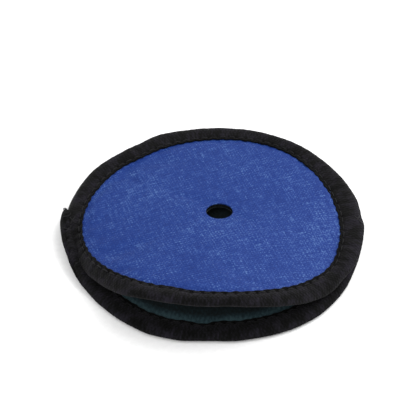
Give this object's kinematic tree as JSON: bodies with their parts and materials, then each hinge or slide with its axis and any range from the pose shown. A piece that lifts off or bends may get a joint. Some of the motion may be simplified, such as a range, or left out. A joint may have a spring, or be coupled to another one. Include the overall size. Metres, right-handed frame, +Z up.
{
  "type": "polishing pad",
  "caption": "Slip-on round polishing pad: two bound fabric and foam panels joined round the back, with a gaping front pocket mouth and a centre spindle hole.",
  "frame": {"origin": "on the surface the pad lies on, under the middle of its outline", "axes": "+Z up through the spindle hole, the pocket's mouth faces -Y, +X to the right as seen from the mouth"},
  "size_m": [0.1832, 0.18, 0.032],
  "materials": {
    "face_weave": "matt coated plain weave",
    "foam": "open-cell foam",
    "lining": "brushed knit",
    "tape": "woven binding tape, matt",
    "thread": "spun polyester thread",
    "pile": "short microfibre pile"
  },
  "bodies": {
    "pad": {"working_face": "pile", "lower_foam": "foam", "lower_lining": "lining", "lower_lip_binding": "tape", "lower_lip_stitching": "thread", "rear_binding": "tape", "rear_stitching": "thread", "lower_tape_ends": "tape", "end_bar_tacks": "thread", "upper_lining_rear": "lining", "upper_foam_rear": "foam", "upper_face_rear": "face_weave", "lip_binding_rear": "tape"},
    "lip": {"upper_lining_lip": "lining", "upper_foam_lip": "foam", "upper_face_lip": "face_weave", "upper_lip_binding": "tape", "upper_lip_stitching": "thread"}
  },
  "joints": [
    {"name": "lip_flex", "type": "hinge", "parent": "pad", "child": "lip", "pos_m": [0, -0.02, 0.0146], "axis": [-1, 0, 0], "range_deg": [0, 40], "stiffness_Nm_per_rad": 0.05}
  ]
}
